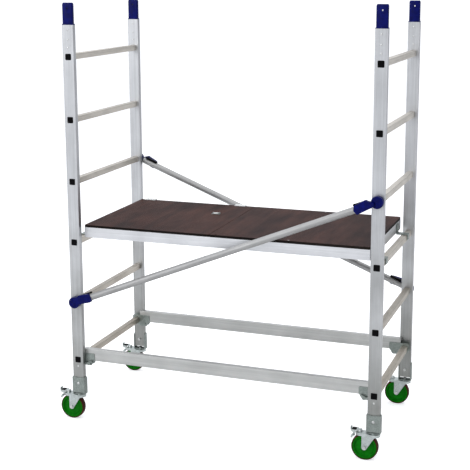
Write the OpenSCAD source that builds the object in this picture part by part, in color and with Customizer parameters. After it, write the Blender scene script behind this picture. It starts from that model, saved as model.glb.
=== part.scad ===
// Mobile tower scaffold: two ladder frames on braked swivel castors, joined by two diagonal braces
// and two foot bars, with a working platform that has a hinged hatch.
// X runs along the bay, Y across it, Z up from the floor. Sizes are in millimetres.

/* [Bay] */
// Length of the bay, from stile centre to stile centre
bay_l = 1500; // [1250:10:2000]
// Depth of an end frame over its outer faces
frame_w = 750; // [650:10:900]

/* [Ladder frames] */
// Height of the lowest rung's centre above the floor
first_rung_h = 312.5; // [300:2.5:360]
// Spacing of the rungs, centre to centre
rung_pitch = 300; // [250:5:350]
// Number of rungs in each frame
rung_count = 6; // [5:1:7]
// Side of the square rung tube
rung_s = 30; // [26:1:36]
// Wall of the rung tube
rung_wall = 2; // [1.5:0.5:3]
// Width of a stile along the bay
stile_w = 57; // [48:1:70]
// Thickness of a stile across the bay
stile_d = 25; // [25:1:32]
// Wall of the stile
stile_wall = 2; // [1.5:0.25:2.5]
// Height of a stile above its top rung's centre
stile_over = 150; // [140:5:300]

/* [Stacking spigots] */
// Height of the spigot above the stile
spigot_h = 103; // [80:1:140]
// Length of the spigot's stem inside the stile
stem_l = 118; // [115:1:120]
// Diameter of the locking pin's hole
lock_hole_d = 8; // [6:0.5:10]
// Distance of the locking pin's hole below the spigot's top
lock_hole_drop = 26; // [22:1:40]
// Diameter of the rivets through the stiles
rivet_d = 5; // [4:0.5:6]

/* [Castors] */
// Diameter of the wheels
wheel_d = 125; // [116:1:130]
// Width of the wheels
wheel_w = 32; // [26:1:34]
// Thickness of the tread
tread_t = 5; // [4:0.5:12]
// Distance of the axle behind the swivel pin
trail = 40; // [36:1:44]
// Diameter of the axle
axle_d = 10; // [8:1:12]
// Diameter of the swivel pin
king_d = 12; // [10:1:14]
// Thickness of the fork's pressed steel
fork_t = 3; // [2.5:0.5:4]
// Thickness of the castor bracket's steel
bracket_t = 4; // [3:0.5:5]
// Height by which the castor bracket reaches up the stile
bracket_h = 72; // [60:1:80]
// Gap between the stile's foot and the bracket's base plate
foot_gap = 13; // [12:0.5:16]
// Gap between the bracket's front plate and its base plate
plate_gap = 4; // [2:0.5:8]
// Angle by which the brake pedal goes down
pedal_stroke = 8; // [0:1:8]

/* [Platform] */
// Number of the rung that carries the platform, counted from the floor
deck_rung = 3; // [2:1:4]
// Height of the side rails
rail_h = 50; // [40:1:70]
// Thickness of the side rails
rail_t = 25; // [20:1:40]
// Wall of the rails and beams
rail_wall = 2; // [1.5:0.25:2.5]
// Thickness of the deck panel
deck_t = 12; // [9:0.5:18]
// Gap between the rails' underside and the rung below
rail_lift = 6.5; // [5:0.5:12]
// Gap between the platform's ends and the stiles
deck_end_gap = 10.5; // [6:0.5:20]
// Gap between the platform's sides and the stiles
deck_side_gap = 12; // [10:0.5:16]
// Length of the hatch panel
hatch_l = 652; // [560:2:680]
// Width of the cross beams
beam_w = 40; // [30:1:60]
// Thickness of the hooks' steel strip
hook_t = 5; // [4:0.5:6]

/* [Braces and bars] */
// Diameter of the brace tubes
brace_d = 32; // [28:1:38]
// Wall of the brace tubes
brace_wall = 2; // [1.5:0.25:3]
// Diameter of the brace clips' round heads
clip_head_d = 56; // [50:1:64]
// Length of the brace clip's spigot inside the rung
clip_pin_l = 30; // [20:1:40]
// Height of a foot bar
bar_h = 60; // [50:1:70]
// Thickness of a foot bar
bar_t = 25; // [20:1:30]
// Thickness of the bar hooks' steel
bar_hook_t = 3; // [2.5:0.5:4]

/* [Hidden] */
$fn = 48;

// Clearances
snug = 0.1;        // between pieces that are fastened together
turn_gap = 0.08;   // on the radius between a pin and what turns on it
face_gap = 0.3;    // between faces that slide past each other
cut = 1;           // how far a cutter runs past the piece that it cuts

// Castor levels, from the floor up
wheel_r = wheel_d / 2;
crown_gap = 2.5;
crown_z = wheel_d + crown_gap;
race_z = crown_z + fork_t + face_gap;
race_t = 2.2;
base_z = race_z + race_t;
base_top_z = base_z + bracket_t;
stile_foot_h = base_top_z + foot_gap;
race_r = 17;
crown_r = 30;
fork_gap = 3;
cheek_y = wheel_w / 2 + fork_gap;
skirt_h = 10;
leg_r = 12;
leg_reach = 15;
crown_back = trail + 20;
king_r = king_d / 2;
king_head_r = king_r + 4;
king_head_h = 6;
axle_r = axle_d / 2;
axle_head_r = axle_r + 4;
axle_head_h = 6;
hub_r = axle_r + 11;
hub_gap = 0.5;

// Brake pedal, from the swivel pin
pedal_x = crown_back + 2;
pedal_t = 3;
pedal_pin_r = 3;
pedal_eye_r = 6;
pedal_z = crown_z + fork_t + pedal_eye_r + face_gap;
lug_y = 8;
lug_t = 3;
lug_r = 5.5;
shoe_angle = 142;
shoe_gap = 7.6;
shoe_t = 9;
shoe_l = 15;
toe_x = trail + wheel_r + 1;
paddle_w = 34;
paddle_end_x = pedal_x + 18;
flange_h = 13;
toe_h = 14;

// Overall place: the origin is on the floor, under the middle of the whole object
bracket_side_gap = 0.3;
bracket_half = stile_w / 2 + bracket_side_gap + bracket_t;
bay_x = (max(trail + wheel_r, toe_x + pedal_t) - bracket_half) / 2;

// Ladder frames
stile_y = frame_w / 2 - stile_d / 2;
stile_in_y = frame_w / 2 - stile_d;
top_rung_h = first_rung_h + (rung_count - 1) * rung_pitch;
stile_top = top_rung_h + stile_over;
rung_in = rung_s - 2 * rung_wall;
rung_corner = 4;
plug_head_t = 2;
plug_stem_l = 16;
spigot_gap = 0.3;
spigot_w = stile_w - 2 * stile_wall - 2 * spigot_gap;
spigot_d = stile_d - 2 * stile_wall - 2 * spigot_gap;
collar_t = 4;
spigot_chamfer = 9;
rivet_drops = [24, 69, 107];
rivet_r = rivet_d / 2;
rivet_head_r = 2 * rivet_r;
rivet_head_t = 1.8;
stop_rivet_h = first_rung_h - rung_s / 2 - 19;
foot_bolt_r = 4;
foot_bolt_head_r = 7;
foot_bolt_head_t = 3.5;
foot_bolt_h = stile_foot_h + 40;
nut_r = 7.5;
nut_t = 6.5;
bracket_depth = 34;
notch_w = 20;
notch_h = 2.5;

// Platform
rung_z3 = first_rung_h + (deck_rung - 1) * rung_pitch;
rail_z = rung_z3 + rung_s / 2 + rail_lift;
deck_z = rail_z + rail_h;
deck_top = deck_z + deck_t;
deck_half_l = (bay_l - stile_w) / 2 - deck_end_gap;
deck_half_w = stile_in_y - deck_side_gap;
seam_x = hatch_l - deck_half_l;
seam_gap = 2;
hatch_rear_gap = 0.5;
panel_corner = 6;
hook_w = 40;
hook_y = 250;
hook_drop = 24;
hook_foot_h = 44;
screw_head_r = 4.5;
screw_head_t = 3;
screw_sink = 0.2;
screw_r = 2.2;
screw_inset = 30;

// Hatch hinges and pull
hinge_l = 60;
hinge_knuckles = 3;
hinge_r = 4;
hinge_pin_r = 2;
hinge_leaf_t = 2;
hinge_leaf_w = 20;
hinge_drop = 40;
hinge_rear_in = 0.5;
hinge_end_in = 25;
hinge_seam_in = 52;
hinge_y = deck_half_w + hinge_r + 0.3;
hinge_z = deck_top + 1;
pull_x = seam_x - 132;
pull_y = 104;
pull_plate = [44, 26];
pull_plate_t = 1.5;
pull_ear_t = 3;
pull_wire_r = 2;
pull_ring_l = 30;
pull_ring_w = 16;
pull_z = deck_top + pull_plate_t + face_gap + pull_wire_r;
pull_axis_y = pull_y + 7;

// Braces: each runs up two rungs, from the second rung to the fourth
brace_low_z = first_rung_h + rung_pitch;
brace_rise = 2 * rung_pitch;
brace_len = sqrt(pow(bay_l, 2) + pow(brace_rise, 2));
brace_tilt = atan2(brace_rise, bay_l);
clip_head_t = 25;
clip_wall = 5;
brace_y = frame_w / 2 + face_gap + brace_d / 2 + 3;
clip_half_w = 21;
clip_l = 108;
clip_neck = 12;
clip_neck_x = clip_head_d / 2 - 4;
clip_tube_start = 30;
clip_pin_r = rung_in / 2 - 0.5;
clip_ear_x = 46;
clip_ear_r = 7;
lever_y = 2;
lever_w = 11;
lever_t = 10;
lever_l = 64;
lever_pin_r = 3;
lever_perp = brace_d / 2 + face_gap + lever_t / 2;

// Foot bars
bar_z = first_rung_h - 8;
bar_y = stile_in_y - 1.5 - bar_hook_t - bar_t / 2;
bar_end_gap = rung_s / 2 + 5;
bar_half_l = bay_l / 2 - bar_end_gap;
bar_wall = 2;
bar_hook_reach = 78;
bar_hook_top = first_rung_h + rung_s / 2 + 14;
bar_hook_low = first_rung_h - 32;
bar_hook_tip = rung_s / 2 + 7;
latch_in = stile_w / 2 + 21.5;
latch_r = 4;
latch_arm_h = 10;
latch_z = first_rung_h - rung_s / 2 - face_gap - latch_arm_h / 2;
latch_hub_r = 9;
latch_hub_t = 12;
wing_l = 19;
wing_t = 4;

function rung_z(k) = first_rung_h + k * rung_pitch;

// Where the brace heads take the place of a plug: [left or right, front or rear, rung]
clip_places = [[-1, -1, 1], [1, -1, 3], [-1, 1, 3], [1, 1, 1]];
function has_clip(sx, sy, k) = len([for (p = clip_places) if (p == [sx, sy, k]) 1]) > 0;

// Moves what is drawn round a stile's axis to the stile at side sx, sy
module at_stile(sx, sy) {
    translate([bay_x + sx * bay_l / 2, sy * stile_y, 0]) children();
}

module box_section(w, d, wall) {
    difference() {
        square([w, d], center = true);
        square([w - 2 * wall, d - 2 * wall], center = true);
    }
}

// A rectangle with round corners
module soft_rect(w, d, r) {
    square([w - 2 * r, d], center = true);
    square([w, d - 2 * r], center = true);
    for (x = [-1, 1])
        for (y = [-1, 1])
            translate([x * (w / 2 - r), y * (d / 2 - r)]) circle(r);
}

// A prism of a flat XZ outline, from y to y + t
module slab_y(y, t) {
    translate([0, y + t, 0])
        rotate([90, 0, 0])
            linear_extrude(t) children();
}

// A cylinder along Y, from y to y + l
module rod_y(r, y, l) {
    translate([0, y, 0])
        rotate([-90, 0, 0]) cylinder(h = l, r = r);
}

// ---------------------------------------------------------------- ladder frames

module stile(sx, sy) {
    color("silver")
    at_stile(sx, sy)
        difference() {
            translate([0, 0, stile_foot_h])
                linear_extrude(stile_top - stile_foot_h) box_section(stile_w, stile_d, stile_wall);
            for (k = [0 : rung_count - 1])
                translate([0, 0, rung_z(k)])
                    slab_y(-stile_d, 2 * stile_d)
                        soft_rect(rung_s + 2 * snug, rung_s + 2 * snug, rung_corner + snug);
            for (drop = rivet_drops)
                translate([0, 0, stile_top - drop]) rod_y(rivet_r + snug, -stile_d, 2 * stile_d);
            translate([0, 0, stop_rivet_h]) rod_y(rivet_r + snug, -stile_d, 2 * stile_d);
            translate([0, 0, foot_bolt_h]) rod_y(foot_bolt_r + snug, -stile_d, 2 * stile_d);
        }
}

// The six rungs of one frame, which end flush with the stiles' outer faces
module rungs(sx) {
    color("tan")
    translate([bay_x + sx * bay_l / 2, 0, 0])
        for (k = [0 : rung_count - 1])
            translate([0, 0, rung_z(k)])
                slab_y(-frame_w / 2, frame_w)
                    difference() {
                        soft_rect(rung_s, rung_s, rung_corner);
                        soft_rect(rung_in, rung_in, rung_corner - rung_wall);
                    }
}

// Black plugs that close the rung tubes wherever no brace clip does
module rung_plugs() {
    stem = rung_in - 2 * snug;
    color("black")
    for (sx = [-1, 1])
        for (sy = [-1, 1])
            for (k = [0 : rung_count - 1])
                if (!has_clip(sx, sy, k))
                    translate([bay_x + sx * bay_l / 2, sy * frame_w / 2, rung_z(k)])
                        rotate([0, 0, sy < 0 ? 0 : 180]) {
                            slab_y(-plug_head_t, plug_head_t) soft_rect(rung_s, rung_s, rung_corner);
                            slab_y(0, plug_stem_l) soft_rect(stem, stem, rung_corner - rung_wall);
                        }
}

// One spigot: a stem inside the stile, a thin collar on its end, and a chamfered head with a pin hole
module stacking_spigot() {
    difference() {
        union() {
            translate([-spigot_w / 2, -spigot_d / 2, -stem_l])
                cube([spigot_w, spigot_d, stem_l + spigot_h - spigot_chamfer]);
            translate([-stile_w / 2, -stile_d / 2, 0]) cube([stile_w, stile_d, collar_t]);
            intersection() {
                translate([0, spigot_d / 2, 0])
                    rotate([90, 0, 0])
                        linear_extrude(spigot_d)
                            polygon([
                                [-spigot_w / 2, 0], [spigot_w / 2, 0],
                                [spigot_w / 2, spigot_h - spigot_chamfer],
                                [spigot_w / 2 - spigot_chamfer / 3, spigot_h],
                                [-spigot_w / 2 + spigot_chamfer / 3, spigot_h],
                                [-spigot_w / 2, spigot_h - spigot_chamfer]
                            ]);
                translate([-spigot_w / 2, 0, 0])
                    rotate([90, 0, 90])
                        linear_extrude(spigot_w)
                            polygon([
                                [-spigot_d / 2, 0], [spigot_d / 2, 0],
                                [spigot_d / 2, spigot_h - spigot_chamfer],
                                [spigot_d / 2 - spigot_chamfer / 3, spigot_h],
                                [-spigot_d / 2 + spigot_chamfer / 3, spigot_h],
                                [-spigot_d / 2, spigot_h - spigot_chamfer]
                            ]);
            }
        }
        translate([0, 0, spigot_h - lock_hole_drop]) rod_y(lock_hole_d / 2, -stile_d, 2 * stile_d);
        for (drop = rivet_drops)
            translate([0, 0, -drop]) rod_y(rivet_r + snug, -stile_d, 2 * stile_d);
    }
}

module stacking_spigots() {
    color("navy")
    for (sx = [-1, 1])
        for (sy = [-1, 1])
            at_stile(sx, sy)
                translate([0, 0, stile_top]) stacking_spigot();
}

// A blind rivet through the stile, drawn for the front and turned round for the rear
module stile_rivet() {
    rod_y(rivet_head_r, -stile_d / 2 - rivet_head_t, rivet_head_t);
    rod_y(rivet_r, -stile_d / 2 - rivet_head_t / 2, stile_d + rivet_head_t);
    rod_y(rivet_head_r * 0.8, stile_d / 2, rivet_head_t);
}

module stile_rivets() {
    color("gainsboro")
    for (sx = [-1, 1])
        for (sy = [-1, 1])
            at_stile(sx, sy)
                rotate([0, 0, sy < 0 ? 0 : 180]) {
                    for (drop = rivet_drops)
                        translate([0, 0, stile_top - drop]) stile_rivet();
                    translate([0, 0, stop_rivet_h]) stile_rivet();
                }
}

// A bolt with its nut, through the castor bracket's front plate and the stile
module foot_bolt() {
    head_y = -stile_d / 2 - bracket_t - bracket_side_gap;
    rod_y(foot_bolt_head_r, head_y - foot_bolt_head_t, foot_bolt_head_t);
    rod_y(foot_bolt_r, head_y - foot_bolt_head_t / 2, stile_d - head_y - stile_d / 2 + nut_t);
    slab_y(stile_d / 2, nut_t) circle(r = nut_r, $fn = 6);
}

module foot_bolts() {
    color("gray")
    for (sx = [-1, 1])
        for (sy = [-1, 1])
            at_stile(sx, sy)
                rotate([0, 0, sy < 0 ? 0 : 180])
                    translate([0, 0, foot_bolt_h]) foot_bolt();
}

// ---------------------------------------------------------------- castors

// Steel channel round the stile's foot, open towards the rungs, with a base plate for the swivel
module castor_bracket() {
    front_y = -stile_d / 2 - bracket_side_gap - bracket_t;
    top_z = stile_foot_h + bracket_h;
    plate_z = base_top_z + plate_gap;
    difference() {
        union() {
            translate([-bracket_half, front_y, plate_z])
                cube([2 * bracket_half, bracket_t, top_z - plate_z]);
            translate([-bracket_half, -race_r - 1, base_z])
                cube([2 * bracket_half, 2 * race_r + 2, bracket_t]);
            for (side = [-1, 1])
                translate([side * (bracket_half - bracket_t / 2) - bracket_t / 2, 0, 0])
                    rotate([90, 0, 90])
                        linear_extrude(bracket_t)
                            polygon([
                                [front_y, base_z], [front_y + bracket_depth - 2, base_z],
                                [front_y + bracket_depth, base_top_z + 8],
                                [front_y + bracket_depth, top_z - 8],
                                [front_y + bracket_depth - 8, top_z], [front_y, top_z]
                            ]);
        }
        translate([-notch_w / 2, front_y - cut, top_z - notch_h])
            cube([notch_w, bracket_t + 2 * cut, notch_h + cut]);
        translate([0, 0, foot_bolt_h]) rod_y(foot_bolt_r + snug, front_y - cut, bracket_t + 2 * cut);
        translate([0, 0, base_z - cut]) cylinder(h = bracket_t + 2 * cut, r = king_r + snug);
    }
}

module castor_brackets() {
    color("darkgray")
    for (sx = [-1, 1])
        for (sy = [-1, 1])
            at_stile(sx, sy)
                rotate([0, 0, sy < 0 ? 0 : 180]) castor_bracket();
}

// Swivel pin, riveted over the bracket's base plate above and under the fork's crown below
module king_pin() {
    low_z = crown_z - face_gap - king_head_h;
    translate([0, 0, low_z]) cylinder(h = king_head_h, r = king_head_r);
    translate([0, 0, low_z]) cylinder(h = base_top_z + king_head_h / 2 - low_z, r = king_r);
    translate([0, 0, base_top_z]) cylinder(h = king_head_h / 2, r = king_head_r);
    translate([0, 0, base_top_z + king_head_h / 2])
        cylinder(h = king_head_h / 2, r1 = king_head_r, r2 = king_r);
}

module king_pins() {
    color("lightgray")
    for (sx = [-1, 1])
        for (sy = [-1, 1])
            at_stile(sx, sy) king_pin();
}

// Ball race between the bracket and the fork
module swivel_races() {
    color("gray")
    for (sx = [-1, 1])
        for (sy = [-1, 1])
            at_stile(sx, sy)
                translate([0, 0, race_z])
                    difference() {
                        cylinder(h = race_t, r = race_r);
                        translate([0, 0, -cut]) cylinder(h = race_t + 2 * cut, r = king_r + snug);
                    }
}

// Outline of the fork's crown, seen from above and drawn in by inset
module crown_outline(inset) {
    cheek = cheek_y + fork_t - inset;
    circle(crown_r - inset);
    translate([-crown_back, -cheek]) square([crown_back, 2 * cheek]);
    translate([-crown_back, 0]) circle(cheek);
}

// Outline of one leg, seen from the side: straight edges that run into the round end at the axle
module leg_outline() {
    top = crown_z;
    rise = top - wheel_r;
    reach = trail + leg_reach;
    far = sqrt(pow(rise, 2) + pow(reach, 2));
    side = atan2(rise, reach) - acos(leg_r / far);
    translate([-trail, wheel_r]) circle(leg_r);
    polygon([
        [-trail - leg_r, wheel_r], [-trail - leg_r, top], [leg_reach, top],
        [-trail + leg_r * cos(side), wheel_r + leg_r * sin(side)]
    ]);
}

module fork(sx, sy) {
    color("lightgray")
    at_stile(sx, sy)
        difference() {
            union() {
                translate([0, 0, crown_z]) linear_extrude(fork_t) crown_outline(0);
                translate([0, 0, crown_z - skirt_h])
                    linear_extrude(skirt_h)
                        difference() {
                            crown_outline(0);
                            crown_outline(fork_t);
                        }
                for (side = [-1, 1])
                    slab_y(side * (cheek_y + fork_t / 2) - fork_t / 2, fork_t) leg_outline();
                for (side = [-1, 1])
                    slab_y(side * (lug_y + lug_t / 2) - lug_t / 2, lug_t)
                        translate([-pedal_x, 0]) {
                            translate([0, pedal_z]) circle(lug_r);
                            translate([-lug_r, crown_z + fork_t / 2])
                                square([2 * lug_r, pedal_z - crown_z - fork_t / 2]);
                        }
            }
            translate([0, 0, crown_z - cut]) cylinder(h = fork_t + 2 * cut, r = king_r + turn_gap);
            translate([-trail, 0, wheel_r])
                rod_y(axle_r + snug, -cheek_y - fork_t - cut, 2 * (cheek_y + fork_t + cut));
            translate([-pedal_x, 0, pedal_z])
                rod_y(pedal_pin_r + snug, -lug_y - lug_t - cut, 2 * (lug_y + lug_t + cut));
        }
}

// Turns a section drawn as radius and width into a wheel on the axle
module on_axle(sx, sy) {
    at_stile(sx, sy)
        translate([-trail, 0, wheel_r])
            rotate([90, 0, 0])
                rotate_extrude($fn = 96) children();
}

// Moulded wheel: a hub, a dished web and a flat rim
module wheel_core(sx, sy) {
    rim_r = wheel_r - tread_t;
    rim_half = wheel_w / 2 - 2;
    web_half = rim_half - 4;
    color("green")
    on_axle(sx, sy)
        polygon([
            [axle_r + turn_gap, -cheek_y + hub_gap], [hub_r, -cheek_y + hub_gap], [hub_r, -web_half],
            [rim_r - 12, -web_half], [rim_r - 8, -rim_half], [rim_r, -rim_half],
            [rim_r, rim_half], [rim_r - 8, rim_half], [rim_r - 12, web_half],
            [hub_r, web_half], [hub_r, cheek_y - hub_gap], [axle_r + turn_gap, cheek_y - hub_gap]
        ]);
}

// Tread moulded round the rim, with rounded shoulders
module tread(sx, sy) {
    rim_r = wheel_r - tread_t + 0.05;
    half = wheel_w / 2;
    shoulder = min(5, tread_t - 1.5);
    arc = [for (a = [0 : 15 : 90])
        [wheel_r - shoulder + shoulder * cos(a), half - shoulder + shoulder * sin(a)]];
    color("maroon")
    on_axle(sx, sy)
        polygon(concat(
            [[rim_r, -half]],
            [for (i = [len(arc) - 1 : -1 : 0]) [arc[i].x, -arc[i].y]],
            arc,
            [[rim_r, half]]
        ));
}

// Axle bolt with its nut, and the brake pedal's pin
module castor_pins(sx, sy) {
    outer = cheek_y + fork_t;
    color("gray")
    at_stile(sx, sy) {
        translate([-trail, 0, wheel_r]) {
            rod_y(axle_r, -outer - axle_head_h / 2, 2 * outer + axle_head_h + 3);
            slab_y(-outer - axle_head_h, axle_head_h) circle(r = axle_head_r, $fn = 6);
            slab_y(outer, axle_head_h) circle(r = axle_head_r, $fn = 6);
        }
        translate([-pedal_x, 0, pedal_z]) {
            rod_y(pedal_pin_r, -lug_y - lug_t - 1, 2 * (lug_y + lug_t + 1));
            rod_y(pedal_pin_r + 1.5, -lug_y - lug_t - 2, 2);
            rod_y(pedal_pin_r + 1.5, lug_y + lug_t, 2);
        }
    }
}

// Brake pedal: an eye on its pin, a flanged paddle with an upturned toe, and a shoe for the tread
module pedal(sx, sy) {
    eye_half = lug_y - face_gap;
    paddle_x = pedal_x + 14;
    strut_x = toe_x - 12;
    shoe_r = wheel_r + shoe_gap;
    top = pedal_z + pedal_eye_r - 0.5;
    color("dimgray")
    at_stile(sx, sy)
        difference() {
            union() {
                translate([-pedal_x, 0, pedal_z]) rod_y(pedal_eye_r - 0.5, -eye_half, 2 * eye_half);
                translate([-paddle_x - 4, -eye_half, pedal_z])
                    cube([paddle_x + 4 - pedal_x, 2 * eye_half, pedal_eye_r - 0.5]);
                translate([-toe_x, -paddle_w / 2, top - pedal_t])
                    cube([toe_x - paddle_x + 4, paddle_w, pedal_t]);
                translate([-toe_x - pedal_t, -paddle_w / 3, top - pedal_t])
                    cube([pedal_t, 2 * paddle_w / 3, toe_h]);
                for (side = [-1, 1])
                    slab_y(side * (paddle_w - pedal_t) / 2 - pedal_t / 2, pedal_t)
                        polygon([
                            [-toe_x, top], [-paddle_end_x, top], [-paddle_end_x, top - flange_h],
                            [-paddle_end_x - flange_h, top - flange_h], [-toe_x, top - flange_h / 2]
                        ]);
                translate([-strut_x, -eye_half, wheel_r + shoe_r * sin(shoe_angle) + shoe_t / 2])
                    cube([pedal_t, 2 * eye_half, pedal_z - wheel_r - shoe_r * sin(shoe_angle)]);
                translate([-trail, 0, wheel_r])
                    rotate([0, -shoe_angle, 0])
                        translate([shoe_r, -wheel_w / 2 + 2, -shoe_l / 2])
                            cube([shoe_t, wheel_w - 4, shoe_l]);
            }
            translate([-pedal_x, 0, pedal_z]) rod_y(pedal_pin_r + turn_gap, -lug_y, 2 * lug_y);
        }
}

// ---------------------------------------------------------------- platform

// Two box rails along the bay
module side_rails() {
    color("silver")
    for (sy = [-1, 1])
        translate([bay_x - deck_half_l, sy * (deck_half_w - rail_t / 2), rail_z + rail_h / 2])
            rotate([90, 0, 90])
                linear_extrude(2 * deck_half_l) box_section(rail_t, rail_h, rail_wall);
}

// Box beams between the rails: one at each end, one under the seam and one under the fixed panel
module cross_beams() {
    span = 2 * (deck_half_w - rail_t);
    places = [
        -deck_half_l + beam_w / 2, seam_x, (seam_x + deck_half_l) / 2, deck_half_l - beam_w / 2
    ];
    color("silver")
    for (x = places)
        translate([bay_x + x, span / 2, rail_z + rail_h / 2])
            rotate([90, 0, 0])
                linear_extrude(span) box_section(beam_w, rail_h, rail_wall);
}

// Strip steel hooks on the end beams, which hang over the rungs
module rung_hooks() {
    seat = rung_z3 + rung_s / 2 + face_gap;
    over = bay_l / 2 + rung_s / 2 + face_gap;
    foot_top = rail_z + hook_foot_h;
    color("gainsboro")
    translate([bay_x, 0, 0])
        for (sx = [-1, 1])
            for (y = [-hook_y, hook_y])
                slab_y(y - hook_w / 2, hook_w)
                    polygon([for (p = [
                        [deck_half_l, foot_top], [deck_half_l + hook_t, foot_top],
                        [deck_half_l + hook_t, seat + hook_t], [over + hook_t, seat + hook_t],
                        [over + hook_t, seat - hook_drop], [over, seat - hook_drop],
                        [over, seat], [deck_half_l, seat]
                    ]) [sx * p.x, p.y]]);
}

// A deck panel from x0 to x1
module panel(x0, x1, rear_gap) {
    depth = 2 * deck_half_w - rear_gap;
    translate([bay_x + (x0 + x1) / 2, -rear_gap / 2, deck_z])
        linear_extrude(deck_t) soft_rect(x1 - x0, depth, panel_corner);
}

// Moves to each screw that holds the fixed panel to the rails, at the panel's top
module at_deck_screws() {
    left_x = seam_x + screw_inset;
    right_x = deck_half_l - screw_inset;
    for (x = [left_x, (left_x + right_x) / 2, right_x])
        for (sy = [-1, 1])
            translate([bay_x + x, sy * (deck_half_w - rail_t / 2), deck_top]) children();
}

// A countersunk screw's solid, from low up to a little below the panel's face
module countersunk(r, head_r, low) {
    rotate_extrude()
        polygon([
            [0, low], [r, low], [r, -screw_sink - screw_head_t], [head_r, -screw_sink],
            [0, -screw_sink]
        ]);
}

module deck_panel() {
    color("saddlebrown")
    difference() {
        panel(seam_x + seam_gap / 2, deck_half_l, hatch_rear_gap);
        at_deck_screws() {
            countersunk(screw_r + snug, screw_head_r + snug, -deck_t - cut);
            translate([0, 0, -screw_sink]) cylinder(h = screw_sink + cut, r = screw_head_r + snug);
        }
    }
}

module deck_screws() {
    color("gainsboro")
    at_deck_screws() countersunk(screw_r, screw_head_r, -deck_t + snug);
}

module hatch_panel() {
    color("saddlebrown")
    panel(-deck_half_l, seam_x - seam_gap / 2, hatch_rear_gap);
}

// Moves to each hinge's left end, on its axis
module at_hinges() {
    for (x = [-deck_half_l + hinge_end_in, seam_x - hinge_seam_in - hinge_l])
        translate([bay_x + x, hinge_y, hinge_z]) children();
}

// A length of hinge barrel, from x to x + l
module barrel(x, l) {
    translate([x, 0, 0])
        rotate([0, 90, 0]) cylinder(h = l, r = hinge_r);
}

module hinge_bore() {
    translate([-cut, 0, 0])
        rotate([0, 90, 0]) cylinder(h = hinge_l + 2 * cut, r = hinge_pin_r + turn_gap);
}

// Leaves on the rear rail, each with the middle knuckle
module hinge_rail_leaves() {
    knuckle = hinge_l / hinge_knuckles;
    drop = hinge_z - deck_top + deck_t + hinge_drop;
    color("gainsboro")
    at_hinges()
        difference() {
            union() {
                translate([0, deck_half_w - hinge_y, -drop])
                    cube([hinge_l, hinge_leaf_t, drop - hinge_r - face_gap]);
                translate([knuckle + face_gap, deck_half_w - hinge_y, -hinge_r - 1])
                    cube([knuckle - 2 * face_gap, hinge_leaf_t, hinge_r + 1]);
                barrel(knuckle + face_gap, knuckle - 2 * face_gap);
            }
            hinge_bore();
        }
}

module hinge_pins() {
    color("gray")
    at_hinges()
        translate([-1.5, 0, 0])
            rotate([0, 90, 0]) cylinder(h = hinge_l + 3, r = hinge_pin_r);
}

// Leaves on top of the hatch, each with the two outer knuckles
module hinge_hatch_leaves() {
    knuckle = hinge_l / hinge_knuckles;
    top = deck_top - hinge_z;
    color("gainsboro")
    at_hinges()
        difference() {
            union() {
                translate([0, deck_half_w - hinge_leaf_w - hinge_y, top])
                    cube([hinge_l, hinge_leaf_w - hinge_rear_in, hinge_leaf_t]);
                for (x = [0, 2 * knuckle]) {
                    barrel(x, knuckle);
                    translate([x, -hinge_r - 2, top]) cube([knuckle, hinge_r + 2, hinge_leaf_t]);
                }
            }
            hinge_bore();
        }
}

// Plate with two ears that carry the hatch's lifting ring
module hatch_plate() {
    ear_z = pull_z - deck_top;
    color("gainsboro")
    translate([bay_x + pull_x, pull_y, deck_top])
        difference() {
            union() {
                linear_extrude(pull_plate_t) soft_rect(pull_plate.x, pull_plate.y, 3);
                for (sx = [-1, 1])
                    translate([sx * (pull_ring_l / 2 + pull_wire_r + pull_ear_t / 2) - pull_ear_t / 2,
                               pull_axis_y - pull_y - 3.5, 0])
                        cube([pull_ear_t, 7, ear_z + 3.5]);
            }
            translate([-pull_plate.x, pull_axis_y - pull_y, ear_z])
                rotate([0, 90, 0]) cylinder(h = 2 * pull_plate.x, r = pull_wire_r + turn_gap);
        }
}

// Wire ring that lies flat on the plate and lifts about its rear rod
module hatch_ring() {
    rod_l = pull_ring_l + 2 * pull_wire_r + 2 * pull_ear_t + 1;
    color("lightgray")
    translate([bay_x + pull_x, pull_axis_y, pull_z]) {
        translate([-rod_l / 2, 0, 0])
            rotate([0, 90, 0]) cylinder(h = rod_l, r = pull_wire_r);
        for (sx = [-1, 1])
            translate([sx * (pull_ring_l / 2 - pull_wire_r), 0, 0])
                rod_y(pull_wire_r, -pull_ring_w, pull_ring_w);
        translate([-pull_ring_l / 2, -pull_ring_w, 0])
            rotate([0, 90, 0]) cylinder(h = pull_ring_l, r = pull_wire_r);
    }
}

// ---------------------------------------------------------------- diagonal braces

// Draws a brace in its own line: X from the lower rung's centre to the upper one's, Z square to it,
// Y out from the frame. The front brace climbs to the right, and the rear one is turned half round.
module on_brace(sy) {
    translate([bay_x, 0, 0])
        rotate([0, 0, sy < 0 ? 0 : 180])
            translate([-bay_l / 2, -brace_y, brace_low_z])
                rotate([0, -brace_tilt, 0]) children();
}

module brace_tube(sy) {
    color("gainsboro")
    on_brace(sy)
        translate([clip_tube_start, 0, 0])
            rotate([0, 90, 0])
                difference() {
                    cylinder(h = brace_len - 2 * clip_tube_start, r = brace_d / 2);
                    translate([0, 0, -cut])
                        cylinder(h = brace_len, r = brace_d / 2 - brace_wall);
                }
}

// Outline of a clip's leaf, seen square on: it starts on the head, arches over the lever's pin and
// has a blunt end
module leaf_outline(up) {
    leaf_r = 7;
    leaf_x = clip_l - 13;
    leaf_side = clip_half_w - leaf_r;
    hull() {
        translate([clip_neck_x, 0]) circle(clip_neck);
        translate([clip_ear_x, up * lever_perp]) circle(clip_ear_r);
        translate([clip_l - clip_neck, 0]) circle(clip_neck);
        for (side = [-1, 1])
            translate([leaf_x, side * leaf_side]) circle(leaf_r);
    }
}

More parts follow.
